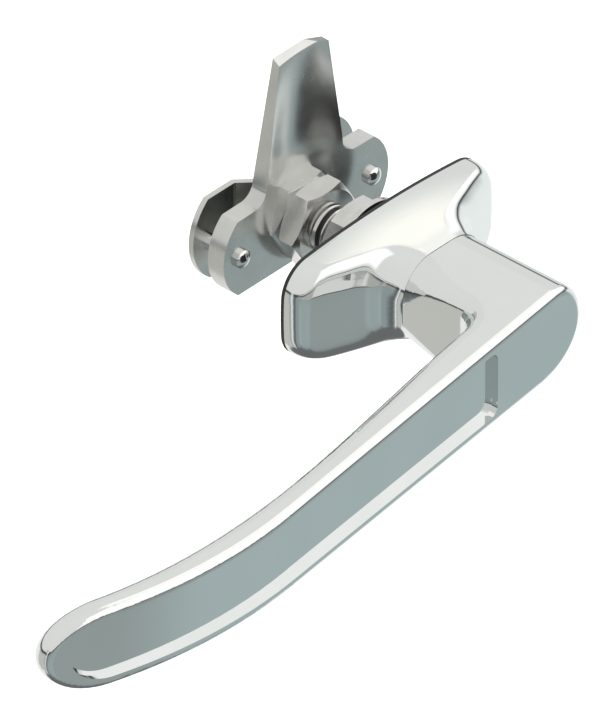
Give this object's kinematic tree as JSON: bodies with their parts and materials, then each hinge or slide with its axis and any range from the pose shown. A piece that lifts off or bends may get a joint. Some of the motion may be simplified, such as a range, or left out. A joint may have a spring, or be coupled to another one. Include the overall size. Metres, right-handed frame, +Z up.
{
  "type": "cam latch",
  "caption": "Compression cam latch: flared door plate, long L handle with a pocketed lever, and a rear double cam with a tongue and two rod pins.",
  "frame": {"origin": "on the spindle axis, at the rear face of the gasket, which is the front face of the door", "axes": "+Y along the spindle into the door, from the handle to the cam; +X to the right seen from the handle side; +Z up, the way the tongue points with the latch open"},
  "size_m": [0.168, 0.0818, 0.0507],
  "materials": {
    "chrome_plating": "polished plating on cast zinc",
    "steel": "zinc plated, satin",
    "pin_steel": "polished",
    "seal_rubber": "matt",
    "dark_nylon": "matt"
  },
  "bodies": {
    "base": {"base": "chrome_plating", "gasket": "seal_rubber", "threaded_bush": "steel", "thrust_washer": "dark_nylon", "washer": "steel", "mounting_nut": "steel"},
    "handle": {"handle": "chrome_plating", "spindle": "steel", "o_ring": "seal_rubber", "neck_pin": "pin_steel", "jam_nut": "steel", "cam": "steel", "rear_strap": "steel", "rod_pin_left": "pin_steel", "rod_pin_right": "pin_steel"}
  },
  "joints": [
    {"name": "handle_turn", "type": "hinge", "parent": "base", "child": "handle", "pos_m": [0, 0, 0], "axis": [0, -1, 0], "range_deg": [0, 90]}
  ]
}
